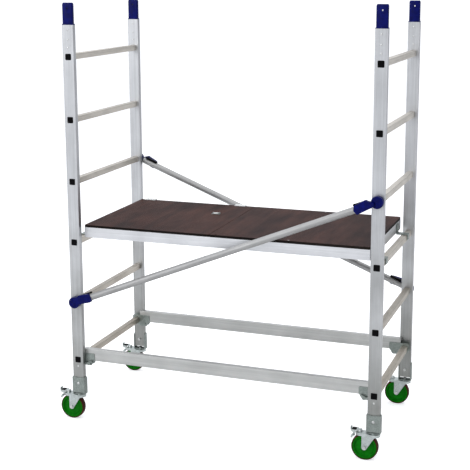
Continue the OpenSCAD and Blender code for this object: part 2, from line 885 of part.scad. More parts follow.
// One clip. Its head lies on the stile, its pin goes into the rung, and its leaf covers the outer half
// of the tube. up says on which side of the tube the lever is.
module brace_clip(up) {
    head_back = brace_y - frame_w / 2 - face_gap;
    leaf_front = -brace_d / 2 - clip_wall;
    difference() {
        union() {
            rod_y(clip_head_d / 2, head_back - clip_head_t, clip_head_t);
            rod_y(clip_pin_r, head_back - cut, clip_pin_l + face_gap + cut);
            slab_y(leaf_front, -leaf_front - 2) leaf_outline(up);
            translate([clip_ear_x, 0, up * lever_perp])
                rod_y(lever_pin_r, -2 - cut, lever_y + lever_w + 4 + cut);
        }
        translate([clip_tube_start - snug, 0, 0])
            rotate([0, 90, 0]) cylinder(h = clip_l, r = brace_d / 2 + snug);
    }
}

module brace_clips(sy) {
    color("navy")
    on_brace(sy) {
        brace_clip(1);
        translate([brace_len, 0, 0])
            rotate([0, 180, 0]) brace_clip(-1);
    }
}

// Spring lever along the top of the tube, which turns on the clip's pin
module lever_shape() {
    difference() {
        union() {
            rod_y(lever_t / 2, lever_y, lever_w);
            translate([0, lever_y, -lever_t / 2 + 1])
                cube([lever_l - 6, lever_w, lever_t - 2]);
            translate([lever_l - 6, 0, 0]) rod_y(lever_t / 2, lever_y, lever_w);
        }
        rod_y(lever_pin_r + turn_gap, lever_y - cut, lever_w + 2 * cut);
    }
}

module brace_lever(sy, high) {
    color("black")
    on_brace(sy)
        translate([high ? brace_len - clip_ear_x : clip_ear_x, 0, lever_perp])
            mirror([high ? 1 : 0, 0, 0]) lever_shape();
}

// ---------------------------------------------------------------- foot bars

module foot_bar(sy) {
    color("silver")
    translate([bay_x - bar_half_l, sy * bar_y, bar_z + bar_h / 2])
        rotate([90, 0, 90])
            linear_extrude(2 * bar_half_l) box_section(bar_t, bar_h, bar_wall);
}

// Outline of one cheek of a bar hook for the left end, with the rung's centre at x = 0
module bar_hook_outline() {
    notch = rung_s / 2 + face_gap;
    difference() {
        polygon([
            [-bar_hook_tip, bar_hook_low + 14], [-bar_hook_tip, bar_hook_top - 6],
            [-bar_hook_tip + 6, bar_hook_top], [bar_hook_reach - 4, bar_hook_top],
            [bar_hook_reach, bar_hook_top - 4], [bar_hook_reach, bar_hook_low + 28],
            [bar_hook_reach - 18, bar_hook_low],
            [notch, bar_hook_low], [notch, bar_hook_low + 6], [-notch, bar_hook_low + 14]
        ]);
        translate([-notch, bar_hook_low - cut])
            square([2 * notch, first_rung_h + notch - bar_hook_low + cut]);
        translate([latch_in, latch_z]) circle(latch_r + snug);
    }
}

// Two cheeks on the sides of the bar and a web across them at the bar's end
module bar_hook() {
    for (side = [-1, 1])
        slab_y(side * (bar_t / 2 + bar_hook_t / 2) - bar_hook_t / 2, bar_hook_t) bar_hook_outline();
    translate([bar_end_gap - bar_hook_t, -bar_t / 2 - snug, bar_z + bar_wall])
        cube([bar_hook_t, bar_t + 2 * snug, bar_hook_top - bar_z - bar_wall]);
}

module bar_hooks(sy) {
    color("darkgray")
    for (sx = [-1, 1])
        translate([bay_x + sx * bay_l / 2, sy * bar_y, 0])
            mirror([sx > 0 ? 1 : 0, 0, 0]) bar_hook();
}

// Winged spindle through both cheeks, with an arm that turns under the rung
module wing_latch(sx, sy) {
    outer = bar_t / 2 + bar_hook_t;
    arm_half = bar_t / 2 - face_gap;
    color("dimgray")
    translate([bay_x + sx * bay_l / 2, sy * bar_y, latch_z])
        mirror([sx > 0 ? 1 : 0, 0, 0])
            mirror([0, sy > 0 ? 1 : 0, 0])
                translate([latch_in, 0, 0]) {
                    rod_y(latch_r, -outer - face_gap - 1, 2 * outer + face_gap + 4);
                    rod_y(latch_hub_r, -outer - face_gap - latch_hub_t, latch_hub_t);
                    rod_y(latch_r + 2, outer + face_gap, 3);
                    translate([-latch_in, -arm_half, -latch_arm_h / 2])
                        cube([latch_in, 2 * arm_half, latch_arm_h]);
                    for (a = [-20, 200])
                        translate([0, -outer - face_gap - latch_hub_t + 2, 0])
                            rotate([0, a, 0]) cube([wing_l, wing_t, 9]);
                }
}

// ---------------------------------------------------------------- nodes

stile(-1, -1);  // stile_front_left
stile(-1, 1);  // stile_rear_left
stile(1, -1);  // stile_front_right
stile(1, 1);  // stile_rear_right
rungs(-1);  // rungs_left
rungs(1);  // rungs_right
rung_plugs();
stacking_spigots();
stile_rivets();
foot_bolts();
castor_brackets();
king_pins();
swivel_races();
fork(-1, -1);  // fork_front_left
fork(-1, 1);  // fork_rear_left
fork(1, -1);  // fork_front_right
fork(1, 1);  // fork_rear_right
wheel_core(-1, -1);  // wheel_core_front_left
wheel_core(-1, 1);  // wheel_core_rear_left
wheel_core(1, -1);  // wheel_core_front_right
wheel_core(1, 1);  // wheel_core_rear_right
tread(-1, -1);  // tread_front_left
tread(-1, 1);  // tread_rear_left
tread(1, -1);  // tread_front_right
tread(1, 1);  // tread_rear_right
castor_pins(-1, -1);  // pins_front_left
castor_pins(-1, 1);  // pins_rear_left
castor_pins(1, -1);  // pins_front_right
castor_pins(1, 1);  // pins_rear_right
pedal(-1, -1);  // pedal_front_left
pedal(-1, 1);  // pedal_rear_left
pedal(1, -1);  // pedal_front_right
pedal(1, 1);  // pedal_rear_right
side_rails();
cross_beams();
rung_hooks();
deck_panel();
deck_screws();
hinge_rail_leaves();
hinge_pins();
hatch_panel();
hinge_hatch_leaves();
hatch_plate();
hatch_ring();
brace_tube(-1);  // front_brace_tube
brace_clips(-1);  // front_brace_clips
brace_lever(-1, false);  // front_brace_lever_low
brace_lever(-1, true);  // front_brace_lever_high
brace_tube(1);  // rear_brace_tube
brace_clips(1);  // rear_brace_clips
brace_lever(1, false);  // rear_brace_lever_low
brace_lever(1, true);  // rear_brace_lever_high
foot_bar(-1);  // front_bar
foot_bar(1);  // rear_bar
bar_hooks(-1);  // front_bar_hooks
bar_hooks(1);  // rear_bar_hooks
wing_latch(-1, -1);  // wing_latch_front_left
wing_latch(1, -1);  // wing_latch_front_right
wing_latch(-1, 1);  // wing_latch_rear_left
wing_latch(1, 1);  // wing_latch_rear_right
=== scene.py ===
# %% [markdown]
# # A mobile tower scaffold
# The object is an aluminium tower: two ladder frames on braked castors, two diagonal braces,
# two foot bars and a platform with a hatch. Its solids come from a CAD model, which is already
# packed with its moving bodies. Blender adds what a CAD solid lacks: worn metal, moulded
# plastic, broken edges, rivet domes and the printed film on the plywood.

# %% Load the CAD frame
import math

import bmesh
import bpy
from mathutils import Matrix, Vector
from mathutils.geometry import tessellate_polygon


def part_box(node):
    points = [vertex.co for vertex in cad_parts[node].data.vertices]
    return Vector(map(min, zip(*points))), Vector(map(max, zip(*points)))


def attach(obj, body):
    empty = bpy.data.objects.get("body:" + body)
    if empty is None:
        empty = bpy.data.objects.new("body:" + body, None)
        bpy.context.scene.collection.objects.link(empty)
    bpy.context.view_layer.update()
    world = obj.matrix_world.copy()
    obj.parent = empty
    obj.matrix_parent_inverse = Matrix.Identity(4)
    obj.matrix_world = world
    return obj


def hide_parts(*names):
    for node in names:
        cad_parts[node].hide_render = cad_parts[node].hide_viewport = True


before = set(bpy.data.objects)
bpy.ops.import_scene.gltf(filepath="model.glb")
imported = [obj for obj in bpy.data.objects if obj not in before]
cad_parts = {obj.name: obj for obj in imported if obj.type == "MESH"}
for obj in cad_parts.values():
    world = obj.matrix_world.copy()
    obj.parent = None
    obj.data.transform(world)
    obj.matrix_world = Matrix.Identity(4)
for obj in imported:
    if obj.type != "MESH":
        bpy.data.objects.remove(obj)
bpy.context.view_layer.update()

MM = 0.001

# %% [markdown]
# ## Where things are
# A tower repeats itself four times, once for each corner. So the script reads each stile's box
# once, and keeps the corner's two signs (left or right, front or rear) with its axis. Every
# fitting on that corner is then drawn once, round an axis, and turned to its place.

# %% Corners and levels
CORNERS = {
    "front_left": (-1, -1),
    "rear_left": (-1, 1),
    "front_right": (1, -1),
    "rear_right": (1, 1),
}
stile_box = {name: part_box("stile_" + name) for name in CORNERS}
stile_axis = {name: (lo + hi) / 2 for name, (lo, hi) in stile_box.items()}
stile_top = stile_box["front_left"][1].z
rung_side = 30 * MM
rung_lo, rung_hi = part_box("rungs_left")
first_rung = rung_lo.z + rung_side / 2
rung_count = 6
rung_pitch = (rung_hi.z - rung_side / 2 - first_rung) / (rung_count - 1)
frame_half = rung_hi.y
bay_middle = (stile_axis["front_left"].x + stile_axis["front_right"].x) / 2
print("rung pitch:", round(rung_pitch, 4), "stile top:", round(stile_top, 4))

# %% [markdown]
# ## The camera
# The tower is seen from the front, a little from the right and from above head height, with a
# long lens, which keeps the four stiles nearly parallel. A small shift of the lens frames the
# castors without tipping the camera further, as an architect's shift lens does.

# %% Camera
camera_data = bpy.data.cameras.new("camera")
camera_data.lens = 84.65
camera_data.sensor_width = 36
camera_data.shift_y = -0.09
camera = bpy.data.objects.new("camera", camera_data)
bpy.context.scene.collection.objects.link(camera)
CAMERA_TURN = math.radians(19.844)
CAMERA_TIP = math.radians(90 - 11.049)
CAMERA_ROLL = math.radians(-0.234)
camera.matrix_world = (
    Matrix.Translation((bay_middle + 1.769, -5.042, first_rung + 1.868))
    @ Matrix.Rotation(CAMERA_TURN, 4, "Z")
    @ Matrix.Rotation(CAMERA_TIP, 4, "X")
    @ Matrix.Rotation(CAMERA_ROLL, 4, "Z")
)
bpy.context.scene.camera = camera
print("camera at", [round(v, 3) for v in camera.location])

# %% [markdown]
# ## Tools for materials
# Each finish is a small network of nodes. Patterns are read in the piece's own coordinates, in
# metres, so they keep their real size and move with the piece. Three tools do nearly everything:
# one makes noise that can be drawn out along a direction, one turns it into a colour between two
# tints, and one turns it into a range of roughness. Others weigh several noises into one value
# and add relief.

# %% Material tools
def start_material(name, colour, metallic, roughness):
    """A new material with its even values set on the shader itself."""
    made = bpy.data.materials.new(name)
    made.use_nodes = True
    shader = made.node_tree.nodes["Principled BSDF"]
    shader.inputs["Base Color"].default_value = (*colour, 1)
    shader.inputs["Metallic"].default_value = metallic
    shader.inputs["Roughness"].default_value = roughness
    made.diffuse_color = (*colour, 1)
    return made, made.node_tree, shader


def own_coordinates(tree, stretch=(1, 1, 1), turn=(0, 0, 0)):
    """The piece's own coordinates, turned and then drawn out by stretch along each axis."""
    coords = tree.nodes.new("ShaderNodeTexCoord")
    mapping = tree.nodes.new("ShaderNodeMapping")
    mapping.vector_type = "TEXTURE"
    mapping.inputs["Scale"].default_value = stretch
    mapping.inputs["Rotation"].default_value = turn
    tree.links.new(coords.outputs["Object"], mapping.inputs["Vector"])
    return mapping.outputs["Vector"]


def noise(tree, size, stretch=(1, 1, 1), turn=(0, 0, 0), detail=3.0):
    """Noise whose lumps are about size metres across before they are drawn out."""
    texture = tree.nodes.new("ShaderNodeTexNoise")
    texture.inputs["Scale"].default_value = 1 / size
    texture.inputs["Detail"].default_value = detail
    tree.links.new(own_coordinates(tree, stretch, turn), texture.inputs["Vector"])
    return texture.outputs["Fac"]


def spread(tree, value, low, high, start=0.3, end=0.7):
    """Spreads a value that runs from start to end over low to high."""
    node = tree.nodes.new("ShaderNodeMapRange")
    node.inputs["From Min"].default_value = start
    node.inputs["From Max"].default_value = end
    node.inputs["To Min"].default_value = low
    node.inputs["To Max"].default_value = high
    tree.links.new(value, node.inputs["Value"])
    return node.outputs["Result"]


def join(tree, operation, a, b):
    """Two varying values joined by a sum, product or other operation."""
    node = tree.nodes.new("ShaderNodeMath")
    node.operation = operation
    tree.links.new(a, node.inputs[0])
    if isinstance(b, float):
        node.inputs[1].default_value = b
    else:
        tree.links.new(b, node.inputs[1])
    return node.outputs["Value"]


def weigh(tree, *shares):
    """The sum of several varying values, each taken with its own share."""
    total = None
    for value, share in shares:
        part = join(tree, "MULTIPLY", value, share)
        total = join(tree, "ADD", total, part) if total else part
    return total


def tint(tree, value, first, second, start=0.3, end=0.7):
    """A colour that goes from first to second as value rises from start to end."""
    ramp = tree.nodes.new("ShaderNodeValToRGB")
    ramp.color_ramp.elements[0].position = start
    ramp.color_ramp.elements[0].color = (*first, 1)
    ramp.color_ramp.elements[1].position = end
    ramp.color_ramp.elements[1].color = (*second, 1)
    tree.links.new(value, ramp.inputs["Fac"])
    return ramp.outputs["Color"]


def blend_colours(tree, share, first, second):
    """Mixes two colours by a varying share."""
    mix = tree.nodes.new("ShaderNodeMix")
    mix.data_type = "RGBA"
    tree.links.new(share, mix.inputs["Factor"])
    tree.links.new(first, mix.inputs["A"])
    tree.links.new(second, mix.inputs["B"])
    return mix.outputs["Result"]


def relief(tree, shader, height, depth, strength=1.0):
    """Relief on the surface: height from 0 to 1 stands for depth in metres."""
    node = tree.nodes.new("ShaderNodeBump")
    node.inputs["Strength"].default_value = strength
    node.inputs["Distance"].default_value = depth
    tree.links.new(height, node.inputs["Height"])
    tree.links.new(node.outputs["Normal"], shader.inputs["Normal"])


def scaled(colour, factor):
    """The same colour, darker or lighter."""
    return tuple(min(1.0, c * factor) for c in colour)


print("material tools ready")

# %% [markdown]
# ## The studio
# Bare aluminium only looks like metal if it has something to mirror. Walls that are equally pale
# on every side would turn it flat white, so the light from the surroundings fades towards the
# right: the faces that look that way come out darker, and the edges between them can be read. The
# camera itself sees plain white paper, on the floor and behind, and the metal sees the duller paper
# that a studio really has. Large soft panels give the direction: one from the front left, one
# overhead for the deck. The standard view transform keeps white paper white.

# %% World
LEFT_WALL, RIGHT_WALL = (0.93, 0.95, 1.0), (0.34, 0.35, 0.36)
scene = bpy.context.scene
scene.view_settings.view_transform = "Standard"
scene.view_settings.look = "None"

world = bpy.data.worlds.new("studio")
world.use_nodes = True
scene.world = world
sky = world.node_tree
around = sky.nodes["Background"]
around.inputs["Strength"].default_value = 1.02
outlook = sky.nodes.new("ShaderNodeTexCoord")
split = sky.nodes.new("ShaderNodeSeparateXYZ")
sky.links.new(outlook.outputs["Generated"], split.inputs["Vector"])
across = spread(sky, split.outputs["X"], 0, 1, -1, 1)
sky.links.new(tint(sky, across, LEFT_WALL, RIGHT_WALL, 0.3, 0.8), around.inputs["Color"])
backdrop = sky.nodes.new("ShaderNodeBackground")
backdrop.inputs["Color"].default_value = (1, 1, 1, 1)
backdrop.inputs["Strength"].default_value = 0.97
seen = sky.nodes.new("ShaderNodeLightPath")
either = sky.nodes.new("ShaderNodeMixShader")
sky.links.new(seen.outputs["Is Camera Ray"], either.inputs["Fac"])
sky.links.new(around.outputs["Background"], either.inputs[1])
sky.links.new(backdrop.outputs["Background"], either.inputs[2])
sky.links.new(either.outputs["Shader"], sky.nodes["World Output"].inputs["Surface"])
print("world made")

# %% Floor
FLOOR_HALF = 150.0
GLOW_FOR_METAL, GLOW_FOR_CAMERA = 0.06, 0.55
floor_mesh = bpy.data.meshes.new("floor")
floor_mesh.from_pydata(
    [(x * FLOOR_HALF, y * FLOOR_HALF, 0) for x, y in ((-1, -1), (1, -1), (1, 1), (-1, 1))],
    [],
    [(0, 1, 2, 3)],
)
floor_paper, tree, shader = start_material("studio_paper", (0.86, 0.86, 0.87), 0.0, 0.9)
shader.inputs["Specular IOR Level"].default_value = 0.1
shader.inputs["Emission Color"].default_value = (0.98, 0.99, 1.0, 1)
paper_seen = tree.nodes.new("ShaderNodeLightPath")
seen_directly = paper_seen.outputs["Is Camera Ray"]
glow = spread(tree, seen_directly, GLOW_FOR_METAL, GLOW_FOR_CAMERA, 0, 1)
tree.links.new(glow, shader.inputs["Emission Strength"])
fibres = tint(tree, noise(tree, 0.9, detail=2.0), (0.84, 0.84, 0.85), (0.88, 0.88, 0.88))
tree.links.new(fibres, shader.inputs["Base Color"])
floor_mesh.materials.append(floor_paper)
floor = bpy.data.objects.new("floor", floor_mesh)
scene.collection.objects.link(floor)
print("floor half width:", FLOOR_HALF)

# %% Lights
def soft_panel(name, place, aim, width, height, brightness):
    """A soft box: a rectangle of light whose face has the given brightness."""
    data = bpy.data.lights.new(name, "AREA")
    data.shape = "RECTANGLE"
    data.size, data.size_y = width, height
    data.energy = brightness * math.pi * width * height
    panel = bpy.data.objects.new(name, data)
    scene.collection.objects.link(panel)
    panel.location = place
    panel.rotation_euler = (Vector(aim) - Vector(place)).to_track_quat("-Z", "Y").to_euler()
    panel.visible_camera = False


soft_panel("key_panel", (-4.2, -7.0, 4.6), (0, 0, 1.6), 5.0, 4.0, 2.4)
soft_panel("top_panel", (0.5, 0.5, 6.0), (0.2, 0, 0.5), 9.0, 9.0, 0.8)

# %% [markdown]
# ## Drawn aluminium
# Stiles, rungs, rails and tubes are extruded: the metal is pushed through a die, which leaves very
# fine lines along the length, and handling adds soft grey patches. One function makes all of
# them. It draws noise out along the length for the die lines, and lays broad patches over it that
# change the tint and the gloss together. The stiles and rungs get darker towards the floor: this
# is painted shade, for the weaker light low down.

# %% Drawn aluminium
# Painted shade: the colour that the uprights darken to near the floor.
PAINTED_FOOT_SHADE = (0.30, 0.305, 0.285)
DIE_LINE, DIE_BAND, PATCH = 1.6 * MM, 11 * MM, 160 * MM


def drawn_aluminium(
    name, colour, stretch, turn=(0, 0, 0), gloss=(0.34, 0.48), shade_height=0.0, foot_shade=PAINTED_FOOT_SHADE
):
    """Extruded aluminium with die lines along stretch. Below the given height its colour goes over
    to a darker painted shade colour, for the weaker light near the floor."""
    made, tree, shader = start_material(name, colour, 1.0, sum(gloss) / 2)
    lines = noise(tree, DIE_LINE, stretch, turn, detail=4.0)
    bands = noise(tree, DIE_BAND, stretch, turn, detail=2.0)
    patches = noise(tree, PATCH, detail=4.0)
    tone = weigh(tree, (lines, 0.35), (bands, 0.3), (patches, 0.35))

    def mottled(base):
        """A base colour that goes from darker to lighter with the tone."""
        return tint(tree, tone, scaled(base, 0.80), scaled(base, 1.08), 0.36, 0.64)

    shade = mottled(colour)
    # Painted shade: below the given height the colour goes over to a darker one, standing in for
    # weaker light near the floor.
    if shade_height:
        height = tree.nodes.new("ShaderNodeSeparateXYZ")
        tree.links.new(own_coordinates(tree), height.inputs["Vector"])
        wavering = join(tree, "ADD", height.outputs["Z"], join(tree, "MULTIPLY", patches, 0.5))
        lit_share = spread(tree, wavering, 0, 1, 0.3, shade_height + 0.25)
        shade = blend_colours(tree, lit_share, mottled(foot_shade), shade)
    tree.links.new(shade, shader.inputs["Base Color"])
    tree.links.new(spread(tree, tone, gloss[1], gloss[0]), shader.inputs["Roughness"])
    relief(tree, shader, lines, 0.05 * MM, 0.6)
    return made


LONG = 90.0  # how many times longer than wide a die line is
BRACE_COLOUR, BRACE_GLOSS = (0.45, 0.45, 0.445), (0.48, 0.60)
bay_length = stile_axis["front_right"].x - stile_axis["front_left"].x
brace_tilt = math.atan2(2 * rung_pitch, bay_length)
# Painted shade: stiles and rungs darken towards the floor, the rungs to a warm brown.
stile_metal = drawn_aluminium(
    "stile_aluminium", (0.61, 0.62, 0.635), (1, 1, LONG), shade_height=1.1
)
rung_metal = drawn_aluminium(
    "rung_aluminium", (0.76, 0.72, 0.66), (1, LONG, 1),
    gloss=(0.38, 0.52), shade_height=1.3, foot_shade=(0.50, 0.45, 0.38),
)
rail_metal = drawn_aluminium("rail_aluminium", (0.74, 0.75, 0.77), (LONG, 1, 1))
bar_metal = drawn_aluminium("bar_aluminium", (0.56, 0.565, 0.55), (LONG, 1, 1))
beam_metal = drawn_aluminium("beam_aluminium", (0.70, 0.71, 0.72), (1, LONG, 1))
brace_metal = {
    side: drawn_aluminium(
        side + "_brace_aluminium", BRACE_COLOUR, (LONG, 1, 1), (0, tilt, 0), BRACE_GLOSS
    )
    for side, tilt in (("front", -brace_tilt), ("rear", brace_tilt))
}
print("aluminium finishes made")

# %% [markdown]
# ## Zinc on steel
# The castors' forks, the brackets and the hooks are pressed steel with a thin coat of zinc: a grey
# metal with a slightly blue cast, cloudy patches from the bath, and duller spots where hands and
# tools have been. A cell pattern of a few millimetres gives the faint spangle.

# %% Zinc finishes
SPANGLE, CLOUD = 6 * MM, 30 * MM


def zinc(name, colour, gloss):
    """A thin coat of zinc on steel: spangle and clouds, in the colour and in the gloss."""
    made, tree, shader = start_material(name, colour, 1.0, sum(gloss) / 2)
    cells = tree.nodes.new("ShaderNodeTexVoronoi")
    cells.inputs["Scale"].default_value = 1 / SPANGLE
    tree.links.new(own_coordinates(tree), cells.inputs["Vector"])
    clouds = noise(tree, CLOUD, detail=5.0)
    tone = weigh(tree, (cells.outputs["Distance"], 0.35), (clouds, 0.65))
    shade = tint(tree, tone, scaled(colour, 0.78), scaled(colour, 1.12), 0.3, 0.7)
    tree.links.new(shade, shader.inputs["Base Color"])
    tree.links.new(spread(tree, tone, gloss[1], gloss[0]), shader.inputs["Roughness"])
    relief(tree, shader, clouds, 0.1 * MM, 0.4)
    return made


pressed_zinc = zinc("galvanised_steel", (0.285, 0.32, 0.30), (0.36, 0.52))
crown_zinc = zinc("fork_galvanised_steel", (0.55, 0.60, 0.585), (0.30, 0.44))
bright_zinc = zinc("zinc_plated_steel", (0.66, 0.67, 0.66), (0.22, 0.36))
print("zinc finishes made")

# %% [markdown]
# ## Moulded plastic and rubber
# The spigots, clips, plugs, levers and wheels are moulded. A mould leaves a very fine grain, and
# use leaves paler scuffs. The two blues differ only by the light on them, so one material serves
# all blue pieces. The tread is a cast rubber: nearly matt, with dust in its pores.

# %% Plastics and rubber
SCUFF = 20 * MM


def moulded(name, colour, rough, grain, grain_depth, scuff, shine):
    """A moulded surface: pores of grain metres across, and scuffs that are paler and duller."""
    made, tree, shader = start_material(name, colour, 0.0, rough)
    shader.inputs["Specular IOR Level"].default_value = shine
    pores = noise(tree, grain, detail=2.0)
    wear = noise(tree, SCUFF, detail=6.0)
    shade = tint(tree, wear, scaled(colour, 0.85), scaled(colour, scuff), 0.42, 0.72)
    tree.links.new(shade, shader.inputs["Base Color"])
    tree.links.new(spread(tree, wear, rough - 0.06, rough + 0.1), shader.inputs["Roughness"])
    relief(tree, shader, pores, grain_depth, 0.5)
    return made


blue_plastic = moulded(
    "blue_plastic", (0.0006, 0.0032, 0.092), 0.34,
    grain=0.9 * MM, grain_depth=0.06 * MM, scuff=1.5, shine=0.09,
)
black_plastic = moulded(
    "black_plastic", (0.0012, 0.0012, 0.0016), 0.42,
    grain=0.8 * MM, grain_depth=0.08 * MM, scuff=2.2, shine=0.06,
)
green_plastic = moulded(
    "green_plastic", (0.0015, 0.155, 0.002), 0.38,
    grain=1.0 * MM, grain_depth=0.05 * MM, scuff=1.25, shine=0.07,
)
tread_rubber = moulded(
    "red_rubber", (0.062, 0.011, 0.006), 0.55,
    grain=1.2 * MM, grain_depth=0.12 * MM, scuff=1.4, shine=0.12,
)
print("plastics made")

# %% [markdown]
# ## The deck board
# The platform is film-faced plywood: birch ply under a dark brown resin film. The film's face is
# printed with a fine wire mesh against slipping, and shows warm and cold blotches. The sawn edges
# are sealed with black paint, and the plies still show through it as faint lines. The material
# asks which way the surface faces in the piece's own space, so one material does both.

# %% Film-faced plywood
GRAIN, BLOTCH, PLY = 35 * MM, 220 * MM, 1.6 * MM
PRINT_PITCH = 3.6 * MM
BANDS_PER_METRE = 3.2  # of the wave texture at a scale of one
deck_board, tree, shader = start_material("film_faced_ply", (0.05, 0.033, 0.031), 0.0, 0.5)
shader.inputs["Specular IOR Level"].default_value = 0.03
coords = tree.nodes.new("ShaderNodeTexCoord")
facing = tree.nodes.new("ShaderNodeSeparateXYZ")
tree.links.new(coords.outputs["Normal"], facing.inputs["Vector"])
up = join(tree, "GREATER_THAN", join(tree, "ABSOLUTE", facing.outputs["Z"], 0.0), 0.6)
grain = noise(tree, GRAIN, (1, 9, 1), detail=5.0)
blotch = noise(tree, BLOTCH, (1, 1.8, 1), detail=3.0)
film_tone = weigh(tree, (grain, 0.4), (blotch, 0.6))
film = tint(tree, film_tone, (0.034, 0.021, 0.020), (0.070, 0.030, 0.023), 0.38, 0.62)
plies = noise(tree, PLY, (400, 400, 1), detail=1.0)
edge = tint(tree, plies, (0.006, 0.005, 0.005), (0.022, 0.017, 0.014), 0.4, 0.65)
tree.links.new(blend_colours(tree, up, edge, film), shader.inputs["Base Color"])
threads = []
for turn in (0.0, math.pi / 2):
    wave = tree.nodes.new("ShaderNodeTexWave")
    wave.bands_direction = "X"
    wave.inputs["Scale"].default_value = 1 / PRINT_PITCH / BANDS_PER_METRE
    tree.links.new(own_coordinates(tree, (1, 1, 1), (0, 0, turn)), wave.inputs["Vector"])
    threads.append(wave.outputs["Fac"])
mesh_print = join(tree, "MAXIMUM", threads[0], threads[1])
relief(tree, shader, join(tree, "MULTIPLY", mesh_print, up), 0.3 * MM, 0.8)
tree.links.new(spread(tree, film_tone, 0.56, 0.44), shader.inputs["Roughness"])
print("deck board made")

# %% [markdown]
# ## Softening the CAD solids
# A CAD solid has perfectly sharp edges, and real metal never has: a broken edge catches a thin
# line of light, and the eye reads that line as thickness. Four modifiers do it without touching
# the solid itself. Weld joins the facets, Decimate dissolves the flat ones into whole faces, Bevel
# rounds each edge where two faces meet at a real angle, and Weighted Normal keeps the large faces
# flat while the rounded edges shade smoothly.

# %% Soften a CAD solid
def soften(node, width, material, angle=32, segments=2):
    """Broken edges and a finish on a CAD solid that keeps its shape."""
    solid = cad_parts[node]
    mesh = solid.data
    if "custom_normal" in mesh.attributes:
        mesh.attributes.remove(mesh.attributes["custom_normal"])
    for polygon in mesh.polygons:
        polygon.use_smooth = True
    weld = solid.modifiers.new("weld", "WELD")
    weld.merge_threshold = 0.02 * MM
    flat = solid.modifiers.new("flat", "DECIMATE")
    flat.decimate_type = "DISSOLVE"
    flat.angle_limit = math.radians(0.6)
    if width:
        bevel = solid.modifiers.new("edge", "BEVEL")
        bevel.width = width
        bevel.segments = segments
        bevel.limit_method = "ANGLE"
        bevel.angle_limit = math.radians(angle)
        bevel.use_clamp_overlap = True
    weighted = solid.modifiers.new("shade", "WEIGHTED_NORMAL")
    weighted.keep_sharp = True
    mesh.materials.clear()
    mesh.materials.append(material)


for name in CORNERS:
    soften("stile_" + name, 0.8 * MM, stile_metal)
print("stiles softened:", len(CORNERS))

# %% [markdown]
# ## Tools for shapes
# Most fittings here are short stacks of outlines: a plug, a spigot or a bolt is one outline that
# grows and shrinks along an axis. So the first tool skins a stack of outlines. The second turns a
# profile round an axis, for wheels and rivet heads. Both draw along their own Z, and a matrix
# then faces the result outwards from the front or the rear of the tower.

# %% Shape tools
def rounded(width, depth, radius, steps=5):
    """A rectangle with round corners, as a ring of flat points."""
    ring = []
    for sx, sy, start in ((1, 1, 0), (-1, 1, 90), (-1, -1, 180), (1, -1, 270)):
        cx, cy = sx * (width / 2 - radius), sy * (depth / 2 - radius)
        for i in range(steps + 1):
            a = math.radians(start + 90 * i / steps)
            ring.append((cx + radius * math.cos(a), cy + radius * math.sin(a)))
    return ring


def hexagon(across_corners, limit, count=48):
    """A hexagon whose corners are cut back to a circle of radius limit."""
    ring = []
    for i in range(count):
        a = 2 * math.pi * i / count
        side = (a % (math.pi / 3)) - math.pi / 6
        r = min(across_corners / 2 * math.cos(math.pi / 6) / math.cos(side), limit)
        ring.append((r * math.cos(a), r * math.sin(a)))
    return ring


def at_level(ring, z):
    """The same ring, lifted to z."""
    return [(x, y, z) for x, y in ring]


def skin(bm, rings, place=Matrix.Identity(4)):
    """Skins a stack of rings that have the same number of points, and closes both ends."""
    rows = [[bm.verts.new(place @ Vector(p)) for p in ring] for ring in rings]
    count = len(rows[0])
    for a, b in zip(rows, rows[1:]):
        for i in range(count):
            j = (i + 1) % count
            bm.faces.new((a[i], a[j], b[j], b[i]))
    bm.faces.new(rows[0][::-1])
    bm.faces.new(rows[-1])


def turned(bm, profile, place=Matrix.Identity(4), count=48):
    """Turns a profile of (radius, height) points round Z. It starts and ends on the axis or
    closes on itself."""
    rows = []
    for r, z in profile:
        if r == 0:
            rows.append([bm.verts.new(place @ Vector((0, 0, z)))] * count)
        else:
            rows.append([
                bm.verts.new(place @ Vector((
                    r * math.cos(2 * math.pi * i / count),
                    r * math.sin(2 * math.pi * i / count),
                    z,
                )))
                for i in range(count)
            ])
    pairs = list(zip(rows, rows[1:]))
    if profile[0][0] != 0:
        pairs.append((rows[-1], rows[0]))
    for a, b in pairs:
        for i in range(count):
            j = (i + 1) % count
            corners = list(dict.fromkeys((a[i], a[j], b[j], b[i])))
            if len(corners) > 2:
                bm.faces.new(corners)


def outward(x, y, z, side):
    """A place whose Z points out from the front (side -1) or the rear (side 1)."""
    half_turn = Matrix.Rotation(math.pi if side > 0 else 0, 4, "Z")
    return Matrix.Translation((x, y, z)) @ half_turn @ Matrix.Rotation(math.pi / 2, 4, "X")


def piece(name, bm, body, material, stands_for=(), sharp=35):
    """Makes a finished piece: closed shell, smooth shading with sharp creases, and its body. It
    hides the CAD parts it stands for.
    """
    bmesh.ops.recalc_face_normals(bm, faces=bm.faces)
    for face in bm.faces:
        face.smooth = True
    for e in bm.edges:
        if len(e.link_faces) == 2 and e.calc_face_angle(0) > math.radians(sharp):
            e.smooth = False
    mesh = bpy.data.meshes.new(name)
    bm.to_mesh(mesh)
    bm.free()
    mesh.materials.append(material)
    made = bpy.data.objects.new(name, mesh)
    bpy.context.scene.collection.objects.link(made)
    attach(made, body)
    if stands_for:
        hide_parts(*stands_for)
    return made


print("shape tools ready")

# %% [markdown]
# ## Ribbed rungs
# The rungs are square aluminium tube, and their four faces are ribbed so that a shoe doesn't slip.
# A bump map would give ribs that vanish at the silhouette, and the grooves between them are half a
# millimetre deep and nearly two wide, so they are real: the outline dips five times on each face,
# and is pushed along the rung. The tube is open inside, so its end is a frame-shaped face.

# %% Rungs
TUBE_WALL = 2 * MM
RIB_DEPTH = 0.55 * MM
RIB_PITCH = 4.0 * MM


